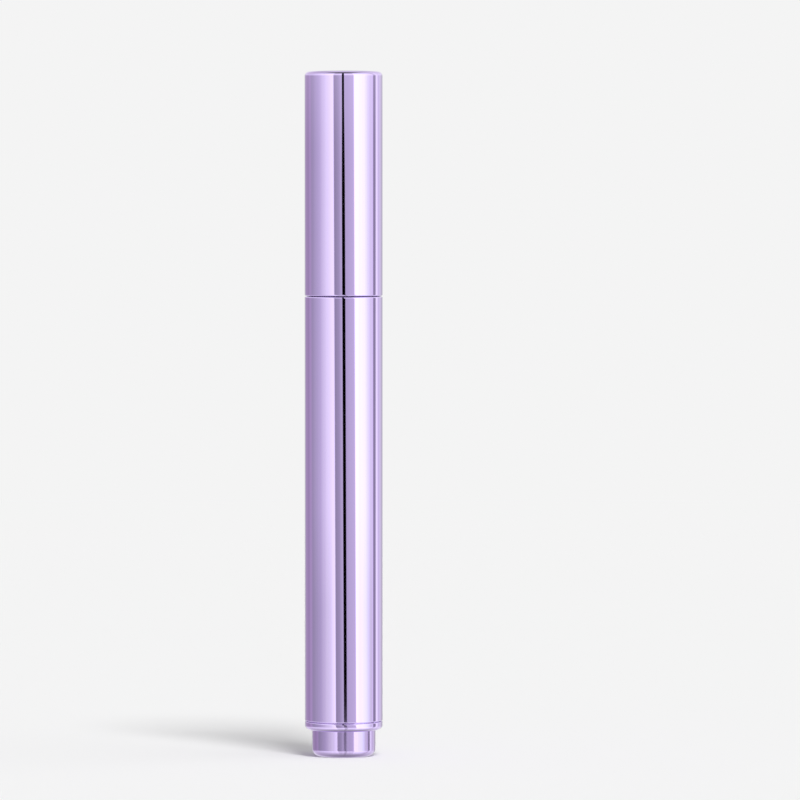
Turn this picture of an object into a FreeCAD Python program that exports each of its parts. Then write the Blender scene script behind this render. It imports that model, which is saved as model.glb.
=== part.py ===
import FreeCAD, Part
import math
import os

# Nail oil pen. A click of the button turns a screw, the screw pushes a plunger up the reservoir,
# and the oil goes through a fine tube to a slanted foam tip under the cap.
# Lengths are in millimetres and angles in degrees. Z runs up the axis from the middle of the
# button's foot, which the pen stands on, and the slanted face of the foam looks towards -Y.

# Fits
press_gap = 0.05        # radial, between pieces that are pushed together and stay so
running_gap = 0.08      # radial, between pieces that slide or turn in one another
seat_gap = 0.05         # along the axis, between stacked pieces
cut_overrun = 1.0       # how far a cutting solid runs past the piece that it cuts

# Metal shells. The barrel's radius and height follow from the drive and the reservoir inside it.
cap_length = 43.4
seam_gap = 0.12         # between the lips of cap and barrel
shell_wall = 0.4
lip_chamfer = 0.2       # on the lips of the two shells at the seam
cap_edge_radius = 0.9
round_steps = 2         # flats that stand for a rounded outer edge

# End ring and button
button_reveal = 5.06    # how much of the button shows below the end ring
ring_band_height = 1.64
ring_groove_gap = 0.08
ring_edge_radius = 0.95
ring_spigot_wall = 0.85
ring_spigot_length = 4.2
button_edge_radius = 1.4
button_floor = 0.6
button_flange_width = 0.45
button_flange_height = 1.0

# Crown teeth of the click drive
tooth_count = 8
tooth_height = 1.6
click_gap = 0.25        # between the tips of two crowns while the button is out
mesh_gap = 0.1          # left between the ramps when the button is fully in
tooth_backlash = 1.0    # degrees
crown_base_height = 1.2
wedge_share = 1.3       # reach of a tooth's wedge, as a share of the crown's outer radius

# Feed screw
screw_radius = 1.9
screw_flat = 1.35       # from the axis to each flat
screw_head_width = 0.55
screw_head_height = 1.8
screw_tail = 0.45       # what stays below the rotor at the end of the feed
screw_floor_gap = 7.55  # from the screw's lower end to the floor of the push tube
plunger_stroke = 27.0

# Push tube of the button
push_tube_bore_gap = 0.4
push_crown_step = 1.0       # from the tube out to the side of its crown
push_base_height = 2.4
push_base_well = 1.0
push_key_count = 4
push_key_width = 1.0
push_key_reach = 0.5
push_key_length = 7.0
push_key_gap = 0.15

# Return spring
spring_wire = 0.7
spring_turns = 5
spring_steps = 12       # sections in each turn

# Drive housing
housing_clearance = 1.25    # above the pressed button's flange
housing_wall = 1.55         # round the rotor
housing_ledge = 0.75        # that the rotor sits on
housing_lip_height = 1.2

# Rotor, ratchet ring and nut
crown_side_gap = 0.15
crown_inner_step = 0.7      # from the screw to the inside of a crown
crown_width = 2.0
rotor_side_gap = 0.1
rotor_height = 2.0
pocket_step = 0.2           # from the rotor's bore out to the flats of the hexagonal pocket
ratchet_body_height = 1.5
nut_height = 3.2

# Reservoir and plunger
reservoir_wall = 1.35
plunger_lift = 1.1          # above the reservoir's lower end, with the pen full
plunger_height = 6.0
plunger_side_gap = 0.25
plunger_end_gap = 0.64      # left below the neck at the end of the feed
plunger_lip = 0.8
plunger_base_height = 1.2
plunger_post_wall = 0.8
plunger_cap_width = 0.6
plunger_cap_height = 1.0
seal_flare = 0.35           # how far the seal's lip spreads out from its foot

# Neck
neck_wall = 1.02            # round the socket
neck_flare = 0.26
neck_flare_height = 1.2
neck_edge = 0.2
neck_reveal = 10.7
neck_rim_depth = 0.3
neck_flange_height = 0.6
neck_spigot_length = 5.7
neck_cavity_step = 0.35
neck_floor_height = 1.7
plug_radius = 2.35
plug_length = 2.8
plug_inlet_height = 0.8
plug_orifice = 0.3
plug_seat_depth = 1.0
tube_radius = 0.7
tube_wall = 0.22
tube_end_height = 4.8       # above the neck's top

# Applicator
retainer_height = 2.5
retainer_foot_step = 0.06
retainer_taper = 0.36
retainer_edge = 0.25
retainer_skirt_wall = 0.6
retainer_skirt_length = 1.8
core_arm_count = 4
core_arm_width = 1.6
core_arm_height = 1.0
core_stem_radius = 1.9
core_stem_height = 7.6      # above the neck's top
core_port_radius = 0.35
core_port_height = 0.7
core_port_drop = 1.55     # from the stem's top to the foot of its side ports
foam_reveal = 11.7          # above the retainer
foam_slant = 36.0           # degrees below level
foam_turn = 5.0             # degrees, the high side's turn to the left

# Cap liner
liner_setback = 0.3         # above the neck's flare
liner_wall = 0.61
liner_grip_gap = 0.1
liner_step_height = 0.25
liner_tip_wall = 1.45
liner_headroom = 5.9        # above the foam
liner_web = 1.2

# Radii that follow from the sizes above, from the screw outwards and then for the other pieces
crown_inner = screw_radius + crown_inner_step
crown_outer = crown_inner + crown_width
push_bore = crown_outer + crown_side_gap
rotor_bore = push_bore + housing_ledge
inside_radius = rotor_bore + housing_wall
bore_radius = inside_radius + press_gap
body_radius = bore_radius + shell_wall
ring_bore = inside_radius - ring_spigot_wall
button_radius = ring_bore - running_gap
button_bore = button_radius - shell_wall
push_tube_bore = screw_radius + push_tube_bore_gap
push_tube_radius = crown_outer - push_crown_step
push_key_radius = push_tube_radius + push_key_reach
reservoir_bore = inside_radius - reservoir_wall
plunger_radius = reservoir_bore - plunger_side_gap
spigot_radius = reservoir_bore - press_gap
liner_grip_radius = inside_radius - liner_wall
neck_grip_radius = liner_grip_radius - liner_grip_gap
neck_foot_radius = neck_grip_radius + neck_flare
neck_top_radius = neck_grip_radius - neck_edge
socket_radius = neck_grip_radius - neck_wall
skirt_radius = socket_radius - press_gap
skirt_bore = skirt_radius - retainer_skirt_wall
foam_radius = skirt_bore - press_gap
retainer_foot_radius = neck_top_radius - retainer_foot_step
retainer_top_radius = retainer_foot_radius - retainer_taper
tube_bore = tube_radius - tube_wall

# Heights that follow, from the foot up
ring_top = button_reveal + ring_band_height
barrel_bottom = ring_top + ring_groove_gap
ring_spigot_top = ring_top + ring_spigot_length
button_flange_bottom = ring_spigot_top + 2 * seat_gap
button_top = button_flange_bottom + button_flange_height
click_travel = click_gap + tooth_height - mesh_gap
housing_bottom = button_top + click_travel + housing_clearance
push_base_bottom = button_floor + seat_gap
push_base_top = push_base_bottom + push_base_height
push_well = push_base_top - push_base_well
screw_bottom = push_well + screw_floor_gap
rotor_bottom = screw_bottom + screw_tail + plunger_stroke
ledge_height = rotor_bottom - seat_gap
rotor_top = rotor_bottom + rotor_height
ratchet_root = rotor_top + 2 * tooth_height + click_gap
ratchet_top = ratchet_root + ratchet_body_height
nut_bottom = ratchet_top + seat_gap
housing_top = nut_bottom + nut_height
pocket_bottom = ratchet_root - seat_gap
push_crown_root = rotor_bottom - 2 * tooth_height - click_gap
reservoir_bottom = housing_top + seat_gap
plunger_bottom = reservoir_bottom + plunger_lift
plunger_top = plunger_bottom + plunger_height
screw_head_bottom = plunger_bottom + plunger_lip + running_gap
screw_head_top = screw_head_bottom + screw_head_height
neck_bottom = plunger_top + plunger_stroke + plunger_end_gap
neck_flange_bottom = neck_bottom + neck_spigot_length
neck_flange_top = neck_flange_bottom + neck_flange_height
neck_flare_top = neck_flange_top + neck_flare_height
reservoir_top = neck_flange_bottom - seat_gap
barrel_top = neck_flange_top + neck_rim_depth
seam_height = barrel_top + seam_gap / 2
cap_bottom = seam_height + seam_gap / 2
cap_top = seam_height + cap_length
neck_top = seam_height + neck_reveal
retainer_skirt_bottom = neck_top - retainer_skirt_length
core_arm_top = retainer_skirt_bottom - seat_gap
core_arm_bottom = core_arm_top - core_arm_height
core_ledge = core_arm_bottom - seat_gap
core_top = neck_top + core_stem_height
tube_top = neck_top + tube_end_height
plug_socket_bottom = neck_bottom + plug_inlet_height
plug_socket_top = plug_socket_bottom + plug_length + 2 * seat_gap
retainer_top = neck_top + retainer_height
foam_bottom = retainer_skirt_bottom
foam_top = retainer_top + foam_reveal
liner_bottom = neck_flare_top + liner_setback
liner_web_bottom = foam_top + liner_headroom
liner_top = liner_web_bottom + liner_web


def spot(radius, height):
    return FreeCAD.Vector(radius, 0, height)


def around(radius, angle, height):
    turn = math.radians(angle)
    return FreeCAD.Vector(radius * math.cos(turn), radius * math.sin(turn), height)


def turned(outline):
    # Turns a closed outline of (radius, height) points about the axis.
    points = [spot(radius, height) for radius, height in outline]
    face = Part.Face(Part.makePolygon(points + points[:1]))
    return face.revolve(spot(0, 0), spot(0, 1), 360)


def rounded(radius, height, bend, upper):
    # Points that round an outer corner off, from the side round to the level face.
    side = 1 if upper else -1
    points = []
    for step in range(round_steps + 1):
        turn = math.radians(90 * step / round_steps)
        points.append((radius - bend * (1 - math.cos(turn)), height - side * bend * (1 - math.sin(turn))))
    return points


def bar(radius, bottom, top):
    return Part.makeCylinder(radius, top - bottom, spot(0, bottom))


def flatted_bar(radius, flat, bottom, top):
    # A round bar with two flats.
    slab = Part.makeBox(2 * radius, 2 * flat, top - bottom, FreeCAD.Vector(-radius, -flat, bottom))
    return bar(radius, bottom, top).common(slab)


def hexagon(flat, bottom, top):
    # A six-sided bar, given from the axis to each flat.
    corners = [around(flat / math.cos(math.radians(30)), 60 * index, bottom) for index in range(6)]
    return Part.Face(Part.makePolygon(corners + corners[:1])).extrude(spot(0, top - bottom))


def spokes(count, inner, outer, width, bottom, top):
    # Straight blocks that point outwards, evenly spaced about the axis.
    blocks = []
    for index in range(count):
        corner = FreeCAD.Vector(inner, -width / 2, bottom)
        block = Part.makeBox(outer - inner, width, top - bottom, corner)
        block.rotate(spot(0, 0), spot(0, 1), index * 360 / count)
        blocks.append(block)
    return blocks


def tooth_wedges(low, hand, turn):
    # One wedge for each crown tooth: its top slopes up from a line that runs out from the axis,
    # and its end drops straight back. Two crowns cut with the same wedges mate exactly.
    # A hand of -1 mirrors the slopes, and turn shifts them round.
    pitch = 360 / tooth_count
    reach = crown_outer * wedge_share
    wedges = []
    for index in range(tooth_count):
        centre = spot(0, low)
        foot = around(reach, hand * (index * pitch + turn), low)
        heel = around(reach, hand * ((index + 1) * pitch + turn), low)
        peak = heel + spot(0, tooth_height * wedge_share)
        triangles = [(centre, foot, heel), (centre, foot, peak), (centre, heel, peak), (foot, heel, peak)]
        faces = [Part.Face(Part.makePolygon(list(corners) + [corners[0]])) for corners in triangles]
        wedge = Part.Solid(Part.Shell(faces))
        if wedge.Volume < 0:
            wedge.reverse()
        wedges.append(wedge)
    return wedges


def rising_teeth(root, hand, turn):
    # The teeth of a crown that looks up, which stand on a face at the root.
    ring = bar(crown_outer, root, root + tooth_height).cut(bar(crown_inner, root, root + tooth_height))
    return [ring.common(wedge) for wedge in tooth_wedges(root, hand, turn)]


def hanging_teeth(root, hand, turn):
    # The teeth of a crown that looks down, which hang from a face at the root.
    tips = root - tooth_height
    ring = bar(crown_outer, tips, root).cut(bar(crown_inner, tips, root))
    return ring.cut(tooth_wedges(tips, hand, turn))


def cap_shell():
    inner_top = cap_top - shell_wall
    corner = rounded(body_radius, cap_top, cap_edge_radius, True)
    return turned([(0, inner_top), (bore_radius, inner_top), (bore_radius, cap_bottom),
                   (body_radius - lip_chamfer, cap_bottom), (body_radius, cap_bottom + lip_chamfer)]
                  + corner + [(0, cap_top)])


def cap_liner():
    # The liner grips the neck, steps in round the applicator, and closes above the foam.
    tip_bore = inside_radius - liner_tip_wall
    shoulder = retainer_top + liner_step_height
    return turned([(liner_grip_radius, liner_bottom), (inside_radius, liner_bottom),
                   (inside_radius, liner_top), (0, liner_top), (0, liner_web_bottom),
                   (tip_bore, liner_web_bottom), (tip_bore, shoulder), (liner_grip_radius, shoulder)])


def barrel_shell():
    return turned([(bore_radius, barrel_bottom), (body_radius, barrel_bottom),
                   (body_radius, barrel_top - lip_chamfer), (body_radius - lip_chamfer, barrel_top),
                   (bore_radius, barrel_top)])


def end_ring():
    # The band shows below the barrel, and its spigot is pressed into the barrel and guides the button.
    corner = rounded(body_radius, button_reveal, ring_edge_radius, False)
    return turned([(ring_bore, ring_spigot_top), (ring_bore, button_reveal)] + corner[::-1]
                  + [(body_radius, ring_top), (inside_radius, ring_top),
                     (inside_radius, ring_spigot_top)])


def button_cap():
    # A cup whose rolled rim stops above the end ring's spigot.
    rim = button_radius + button_flange_width
    corner = rounded(button_radius, 0, button_edge_radius, False)
    return turned([(0, button_floor), (0, 0)] + corner[::-1]
                  + [(button_radius, button_flange_bottom), (rim, button_flange_bottom),
                     (rim, button_top), (button_bore, button_top), (button_bore, button_floor)])


def push_driver():
    # A tube on a disc in the button. Keys stop it turning in the housing, and its crown drives
    # the rotor. The lower end of the screw hangs free inside it.
    disc = button_bore - press_gap
    crown_bottom = push_crown_root - crown_base_height
    tube = turned([(0, push_base_bottom), (disc, push_base_bottom), (disc, push_base_top),
                   (push_tube_radius, push_base_top), (push_tube_radius, crown_bottom),
                   (crown_outer, crown_bottom), (crown_outer, push_crown_root),
                   (push_tube_bore, push_crown_root), (push_tube_bore, push_well), (0, push_well)])
    keys_top = housing_bottom + housing_lip_height + push_key_length / 2
    keys_inner = (push_tube_bore + push_tube_radius) / 2
    keys = spokes(push_key_count, keys_inner, push_key_radius, push_key_width,
                  keys_top - push_key_length, keys_top)
    return tube.fuse(keys + rising_teeth(push_crown_root, -1, 0))


def return_spring():
    # A square wire wound between the push tube's disc and the housing.
    half = spring_wire / 2
    low = push_base_top + seat_gap + half
    high = housing_bottom - seat_gap - half
    radius = (push_key_radius + button_bore) / 2
    sections = []
    for step in range(spring_turns * spring_steps + 1):
        middle = low + (high - low) * step / (spring_turns * spring_steps)
        corners = [spot(radius - half, middle - half), spot(radius + half, middle - half),
                   spot(radius + half, middle + half), spot(radius - half, middle + half)]
        section = Part.makePolygon(corners + corners[:1])
        section.rotate(spot(0, 0), spot(0, 1), 360 * step / spring_steps)
        sections.append(section)
    return Part.makeLoft(sections, True, True)


def drive_housing():
    # A lip with key slots round the push tube, a ledge for the rotor, and a hexagonal pocket
    # in the top for the ratchet ring and the nut.
    lip_bore = push_tube_radius + running_gap
    lip_top = housing_bottom + housing_lip_height
    housing = turned([(lip_bore, housing_bottom), (inside_radius, housing_bottom),
                      (inside_radius, housing_top), (rotor_bore, housing_top),
                      (rotor_bore, ledge_height), (push_bore, ledge_height), (push_bore, lip_top),
                      (lip_bore, lip_top)])
    key_slots = spokes(push_key_count, lip_bore - running_gap, push_key_radius + push_key_gap,
                       push_key_width + push_key_gap, housing_bottom - cut_overrun, lip_top + cut_overrun)
    pocket = hexagon(rotor_bore + pocket_step, pocket_bottom, housing_top + cut_overrun)
    return housing.cut(key_slots + [pocket])


def rotor():
    # The ratchet wheel: a crown on each face, and a bore with two flats that turns the screw.
    wheel = bar(rotor_bore - rotor_side_gap, rotor_bottom, rotor_top)
    bore = flatted_bar(screw_radius + running_gap, screw_flat + running_gap,
                       rotor_bottom - cut_overrun, rotor_top + cut_overrun)
    lower = hanging_teeth(rotor_bottom, -1, tooth_backlash)
    return wheel.cut(bore).fuse([lower] + rising_teeth(rotor_top, 1, 0))


def ratchet_ring():
    # The fixed crown above the rotor, half a tooth out of step with the driving crown.
    body = hexagon(rotor_bore + pocket_step - press_gap, ratchet_root, ratchet_top)
    body = body.cut(bar(crown_inner, ratchet_root, ratchet_top))
    half_tooth = 360 / tooth_count / 2
    return body.fuse(hanging_teeth(ratchet_root, 1, half_tooth))


def drive_nut():
    # The feed screw runs in this nut, which the housing's pocket stops from turning.
    body = hexagon(rotor_bore + pocket_step - press_gap, nut_bottom, housing_top)
    return body.cut(bar(screw_radius + running_gap, nut_bottom, housing_top))


def screw_rod():
    rod = flatted_bar(screw_radius, screw_flat, screw_bottom, screw_head_bottom + screw_head_height / 2)
    head_radius = screw_radius + screw_head_width
    head = turned([(0, screw_head_bottom), (head_radius, screw_head_bottom),
                   (head_radius, screw_head_bottom + screw_head_height / 2),
                   (screw_radius, screw_head_top), (0, screw_head_top)])
    return rod.fuse(head)


def plunger_head():
    # A base with a socket for the screw's head, and a post whose cap holds the seal down.
    lip = screw_radius + running_gap
    socket = screw_radius + screw_head_width + running_gap
    socket_bottom = plunger_bottom + plunger_lip
    socket_top = screw_head_top + running_gap
    base_top = plunger_bottom + plunger_base_height
    post = socket + plunger_post_wall
    cap_low = plunger_top - plunger_cap_height
    cap = post + plunger_cap_width
    return turned([(lip, plunger_bottom), (plunger_radius, plunger_bottom), (plunger_radius, base_top),
                   (post, base_top), (post, cap_low), (cap, cap_low), (cap, plunger_top),
                   (0, plunger_top), (0, socket_top), (socket, socket_top),
                   (socket, socket_bottom), (lip, socket_bottom)])


def plunger_seal():
    # A soft ring round the plunger's post. It flares to a lip that wipes the reservoir.
    inner = screw_radius + screw_head_width + running_gap + plunger_post_wall + press_gap
    lip = reservoir_bore - running_gap
    bottom = plunger_bottom + plunger_base_height + seat_gap
    top = plunger_top - plunger_cap_height - seat_gap
    return turned([(inner, bottom), (lip - seal_flare, bottom), (lip, top), (inner, top)])


def reservoir():
    wall = bar(inside_radius, reservoir_bottom, reservoir_top)
    return wall.cut(bar(reservoir_bore, reservoir_bottom, reservoir_top))


def neck_collar():
    # The spigot plugs the reservoir, the flange sits in the barrel's mouth, and the cap grips the
    # side above the flare. The socket in the top takes the applicator.
    cavity = socket_radius - neck_cavity_step
    floor = neck_flange_top + neck_floor_height
    hole = tube_radius + press_gap
    plug_socket = plug_radius + press_gap
    return turned([(plug_socket, neck_bottom), (spigot_radius, neck_bottom),
                   (spigot_radius, neck_flange_bottom), (inside_radius, neck_flange_bottom),
                   (inside_radius, neck_flange_top), (neck_foot_radius, neck_flange_top),
                   (neck_grip_radius, neck_flare_top), (neck_grip_radius, neck_top - neck_edge),
                   (neck_top_radius, neck_top), (socket_radius, neck_top), (socket_radius, core_ledge),
                   (cavity, core_ledge), (cavity, floor), (hole, floor), (hole, plug_socket_top),
                   (plug_socket, plug_socket_top)])


def flow_plug():
    # The fine hole meters the oil, and the feed tube stands in the wider one above it.
    bottom = plug_socket_bottom + seat_gap
    top = bottom + plug_length
    seat = tube_radius + press_gap
    return turned([(plug_orifice, bottom), (plug_radius, bottom), (plug_radius, top), (seat, top),
                   (seat, top - plug_seat_depth), (plug_orifice, top - plug_seat_depth)])


def feed_tube():
    bottom = plug_socket_bottom + 2 * seat_gap + plug_length - plug_seat_depth
    return bar(tube_radius, bottom, tube_top).cut(bar(tube_bore, bottom, tube_top))


def tip_core():
    # Four arms rest on the ledge in the neck's socket, and a hollow stem runs up the foam.
    bore = tube_radius + press_gap
    stem = turned([(bore, core_arm_bottom), (core_stem_radius, core_arm_bottom),
                   (core_stem_radius, core_top), (core_port_radius, core_top),
                   (core_port_radius, tube_top + seat_gap), (bore, tube_top + seat_gap)])
    socket = socket_radius - press_gap
    reach = math.sqrt(socket ** 2 - (core_arm_width / 2) ** 2)
    arms = spokes(core_arm_count, (bore + core_stem_radius) / 2, reach, core_arm_width,
                  core_arm_bottom, core_arm_top)
    port_reach = core_stem_radius + cut_overrun
    port_corner = FreeCAD.Vector(-port_reach, -core_port_radius, core_top - core_port_drop)
    port = Part.makeBox(2 * port_reach, 2 * core_port_radius, core_port_height, port_corner)
    return stem.fuse(arms).cut(port)


def sponge_tip():
    # A foam bar cut at a slant, with a blind hole for the stem.
    hole = core_stem_radius + press_gap
    hole_top = core_top + seat_gap
    foam = turned([(hole, foam_bottom), (foam_radius, foam_bottom), (foam_radius, foam_top),
                   (0, foam_top), (0, hole_top), (hole, hole_top)])
    reach = foam_radius + cut_overrun
    fall = math.tan(math.radians(foam_slant))
    high = foam_top + cut_overrun * fall
    low = high - 2 * reach * fall
    above = high + cut_overrun
    corners = [FreeCAD.Vector(-reach, reach, high), FreeCAD.Vector(-reach, -reach, low),
               FreeCAD.Vector(-reach, -reach, above), FreeCAD.Vector(-reach, reach, above)]
    wedge = Part.Face(Part.makePolygon(corners + corners[:1])).extrude(spot(2 * reach, 0))
    wedge.rotate(spot(0, 0), spot(0, 1), foam_turn)
    return foam.cut(wedge)


def tip_retainer():
    # A tapered collar on the neck, with a skirt that presses into the neck's socket.
    foot = neck_top + seat_gap
    return turned([(skirt_bore, retainer_skirt_bottom), (skirt_radius, retainer_skirt_bottom),
                   (skirt_radius, foot), (retainer_foot_radius, foot),
                   (retainer_top_radius, retainer_top - retainer_edge),
                   (retainer_top_radius - retainer_edge, retainer_top), (skirt_bore, retainer_top)])


makers = [cap_shell, cap_liner, barrel_shell, end_ring, button_cap, push_driver, return_spring,
          drive_housing, rotor, ratchet_ring, drive_nut, screw_rod, plunger_head, plunger_seal,
          reservoir, neck_collar, flow_plug, feed_tube, tip_core, sponge_tip, tip_retainer]

os.makedirs("parts", exist_ok=True)
for maker in makers:
    shape = maker().removeSplitter()
    if len(shape.Solids) == 1:
        shape = shape.Solids[0]
    print(maker.__name__, shape.ShapeType, shape.isValid(), round(shape.Volume, 2))
    shape.exportStep(os.path.join("parts", maker.__name__ + ".step"))
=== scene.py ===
import math
import random

import bpy
from mathutils import Matrix, Vector


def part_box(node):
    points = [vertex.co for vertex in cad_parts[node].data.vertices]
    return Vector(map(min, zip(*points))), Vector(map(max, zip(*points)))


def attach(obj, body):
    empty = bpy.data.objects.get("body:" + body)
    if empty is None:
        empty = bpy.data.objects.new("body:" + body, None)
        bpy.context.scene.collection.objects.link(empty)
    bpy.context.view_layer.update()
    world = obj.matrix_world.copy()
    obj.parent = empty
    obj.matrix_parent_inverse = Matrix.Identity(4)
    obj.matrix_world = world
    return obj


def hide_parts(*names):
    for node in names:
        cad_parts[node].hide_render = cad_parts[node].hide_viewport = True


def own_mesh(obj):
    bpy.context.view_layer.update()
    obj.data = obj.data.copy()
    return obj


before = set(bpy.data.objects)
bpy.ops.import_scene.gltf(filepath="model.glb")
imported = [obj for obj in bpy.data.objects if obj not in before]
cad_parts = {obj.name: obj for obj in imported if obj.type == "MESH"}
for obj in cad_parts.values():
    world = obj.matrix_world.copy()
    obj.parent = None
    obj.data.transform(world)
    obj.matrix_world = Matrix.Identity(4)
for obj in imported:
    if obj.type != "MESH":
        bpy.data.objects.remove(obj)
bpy.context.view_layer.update()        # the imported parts, at their real size and place
print("stage: the packed parts are in")

mm = 0.001
weldReach = 0.0005 * mm        # corners nearer than this are one corner
softCrease = 32                # degrees between faces, past which an edge stays sharp


# Shaping

def deselectAll():
    if bpy.context.object and bpy.context.object.mode != "OBJECT":
        bpy.ops.object.mode_set(mode="OBJECT")
    bpy.ops.object.select_all(action="DESELECT")


def pickOnly(piece):
    deselectAll()
    piece.select_set(True)
    bpy.context.view_layer.objects.active = piece


def nodeReach(node):
    # radius, lowest and highest point of a round part
    low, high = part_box(node)
    return max(high.x, high.y, -low.x, -low.y), low.z, high.z


def arcPoints(middle, radius, fromAngle, toAngle, steps):
    # an arc of the outline; 0 degrees points out from the axis and 90 points up
    points = []
    for step in range(steps + 1):
        turn = math.radians(fromAngle + (toAngle - fromAngle) * step / steps)
        points.append((middle[0] + radius * math.cos(turn), middle[1] + radius * math.sin(turn)))
    return points


def drawOutline(name, outline):
    # one corner is extruded from point to point, and the piece is left in edit mode
    deselectAll()
    bpy.ops.mesh.primitive_plane_add(size=mm)
    piece = bpy.context.object
    piece.name = name
    piece.data.name = name
    bpy.ops.object.mode_set(mode="EDIT")
    bpy.ops.mesh.merge(type="CENTER")
    bpy.ops.transform.translate(value=(outline[0][0], 0, outline[0][1]))
    for (oldRadius, oldHeight), (radius, height) in zip(outline, outline[1:]):
        move = (radius - oldRadius, 0, height - oldHeight)
        bpy.ops.mesh.extrude_vertices_move(TRANSFORM_OT_translate={"value": move})
    return piece


def closePiece():
    # welds what meets and turns the faces outwards, then goes from edit mode back to object mode
    bpy.ops.mesh.select_all(action="SELECT")
    bpy.ops.mesh.remove_doubles(threshold=weldReach)
    bpy.ops.mesh.normals_make_consistent(inside=False)
    bpy.ops.object.mode_set(mode="OBJECT")


def turnPiece(name, outline, sides):
    # the outline is spun round the axis
    piece = drawOutline(name, outline)
    bpy.ops.mesh.select_all(action="SELECT")
    bpy.ops.mesh.spin(steps=sides, angle=2 * math.pi, center=(0, 0, 0), axis=(0, 0, 1))
    closePiece()
    return piece


def smoothPiece(piece, angle=softCrease):
    pickOnly(piece)
    bpy.ops.object.shade_smooth_by_angle(angle=math.radians(angle))


def dressPiece(piece, material, body, node):
    piece.data.materials.clear()
    piece.data.materials.append(material)
    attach(piece, body)
    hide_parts(node)


# Patterns and colours

noiseLow, noiseHigh = 0.3, 0.7        # most of a noise lies between these
evenScale = (1, 1, 1)


def newMaterial(name):
    material = bpy.data.materials.new(name)
    material.use_nodes = True
    nodes = material.node_tree.nodes
    return material, nodes, material.node_tree.links, nodes["Principled BSDF"]


def patternPlace(nodes, links, scale):
    # a pattern that sits still on the piece, in metres, stretched by the three scales
    place = nodes.new("ShaderNodeTexCoord")
    mapping = nodes.new("ShaderNodeMapping")
    mapping.inputs["Scale"].default_value = scale
    links.new(place.outputs["Object"], mapping.inputs["Vector"])
    return mapping.outputs["Vector"]


def noiseOf(nodes, links, vector, fineness, detail):
    noise = nodes.new("ShaderNodeTexNoise")
    noise.inputs["Scale"].default_value = fineness
    noise.inputs["Detail"].default_value = detail
    links.new(vector, noise.inputs["Vector"])
    return noise.outputs["Fac"]


def mathOf(nodes, links, operation, first, second=None):
    node = nodes.new("ShaderNodeMath")
    node.operation = operation
    for socket, value in zip(node.inputs, (first, second)):
        if isinstance(value, (int, float)):
            socket.default_value = value
        elif value is not None:
            links.new(value, socket)
    return node.outputs[0]


def rangeOf(nodes, links, value, low, high, fromLow=noiseLow, fromHigh=noiseHigh):
    # low where the value is at fromLow or under, high where it is at fromHigh or over
    spread = nodes.new("ShaderNodeMapRange")
    spread.inputs["From Min"].default_value = fromLow
    spread.inputs["From Max"].default_value = fromHigh
    spread.inputs["To Min"].default_value = low
    spread.inputs["To Max"].default_value = high
    links.new(value, spread.inputs["Value"])
    return spread.outputs["Result"]


def toneRamp(nodes, links, value, stops):
    # stops are pairs of a place from 0 to 1 and a colour
    ramp = nodes.new("ShaderNodeValToRGB")
    elements = ramp.color_ramp.elements
    for index, (place, colour) in enumerate(stops):        # a new ramp has two stops already
        element = elements[index] if index < 2 else elements.new(1)
        element.position = place
        element.color = (*colour, 1)
    links.new(value, ramp.inputs["Fac"])
    return ramp.outputs["Color"]


def noiseColour(nodes, links, noise, deepColour, colour):
    return toneRamp(nodes, links, noise, [(noiseLow, deepColour), (noiseHigh, colour)])


def blendedColour(nodes, links, share, first, second, kind="MIX"):
    blend = nodes.new("ShaderNodeMix")
    blend.data_type = "RGBA"
    blend.blend_type = kind
    sockets = (blend.inputs[0], blend.inputs[6], blend.inputs[7])        # the share and the two colours
    for socket, value in zip(sockets, (share, first, second)):
        if isinstance(value, tuple):
            socket.default_value = (*value, 1)
        elif isinstance(value, (int, float)):
            socket.default_value = value
        else:
            links.new(value, socket)
    return blend.outputs[2]


def scaledColour(nodes, links, colour, value):
    scale = nodes.new("ShaderNodeVectorMath")
    scale.operation = "SCALE"
    links.new(colour, scale.inputs[0])
    links.new(value, scale.inputs["Scale"])
    return scale.outputs[0]


def bumpOf(nodes, links, value, shader, height, strength):
    bump = nodes.new("ShaderNodeBump")
    bump.inputs["Distance"].default_value = height
    bump.inputs["Strength"].default_value = strength
    links.new(value, bump.inputs["Height"])
    links.new(bump.outputs["Normal"], shader.inputs["Normal"])


# Finishes

lilacMetalLook = {
    "polished": {"colour": (0.735, 0.615, 0.95), "deepColour": (0.705, 0.575, 0.93),
                 "roughness": (0.03, 0.055)},
    # the satin finish is rougher than the polished one; its darker colours are painted shade on the button
    "satinAndPaintedShade": {"colour": (0.66, 0.54, 0.86), "deepColour": (0.63, 0.505, 0.84),
              "roughness": (0.08, 0.115)},
    "streakScale": (1, 1, 0.003),        # drawn lines run along the tube
    "streakFineness": 2600,
    "streakDetail": 4,
    "bloomFineness": 160,
    "bloomDetail": 3,
    "bumpHeight": 0.0002 * mm,
}


def lilacMetal(name, finish):
    look = lilacMetalLook
    material, nodes, links, shader = newMaterial(name)
    shader.inputs["Metallic"].default_value = 1
    streaks = noiseOf(nodes, links, patternPlace(nodes, links, look["streakScale"]),
                      look["streakFineness"], look["streakDetail"])
    bloom = noiseOf(nodes, links, patternPlace(nodes, links, evenScale),
                    look["bloomFineness"], look["bloomDetail"])
    links.new(noiseColour(nodes, links, streaks, finish["deepColour"], finish["colour"]),
              shader.inputs["Base Color"])
    links.new(rangeOf(nodes, links, bloom, *finish["roughness"]), shader.inputs["Roughness"])
    bumpOf(nodes, links, streaks, shader, look["bumpHeight"], 1)
    return material


mouldedLook = {
    "cloudFineness": 220,
    "cloudDetail": 3,
    "peelFineness": 2400,
    "peelDetail": 2,
    "peelHeight": 0.004 * mm,
    "roughnessShares": (0.85, 1.15),
    "glowDepth": 1.2 * mm,
    "refraction": 1.49,
}
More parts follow.
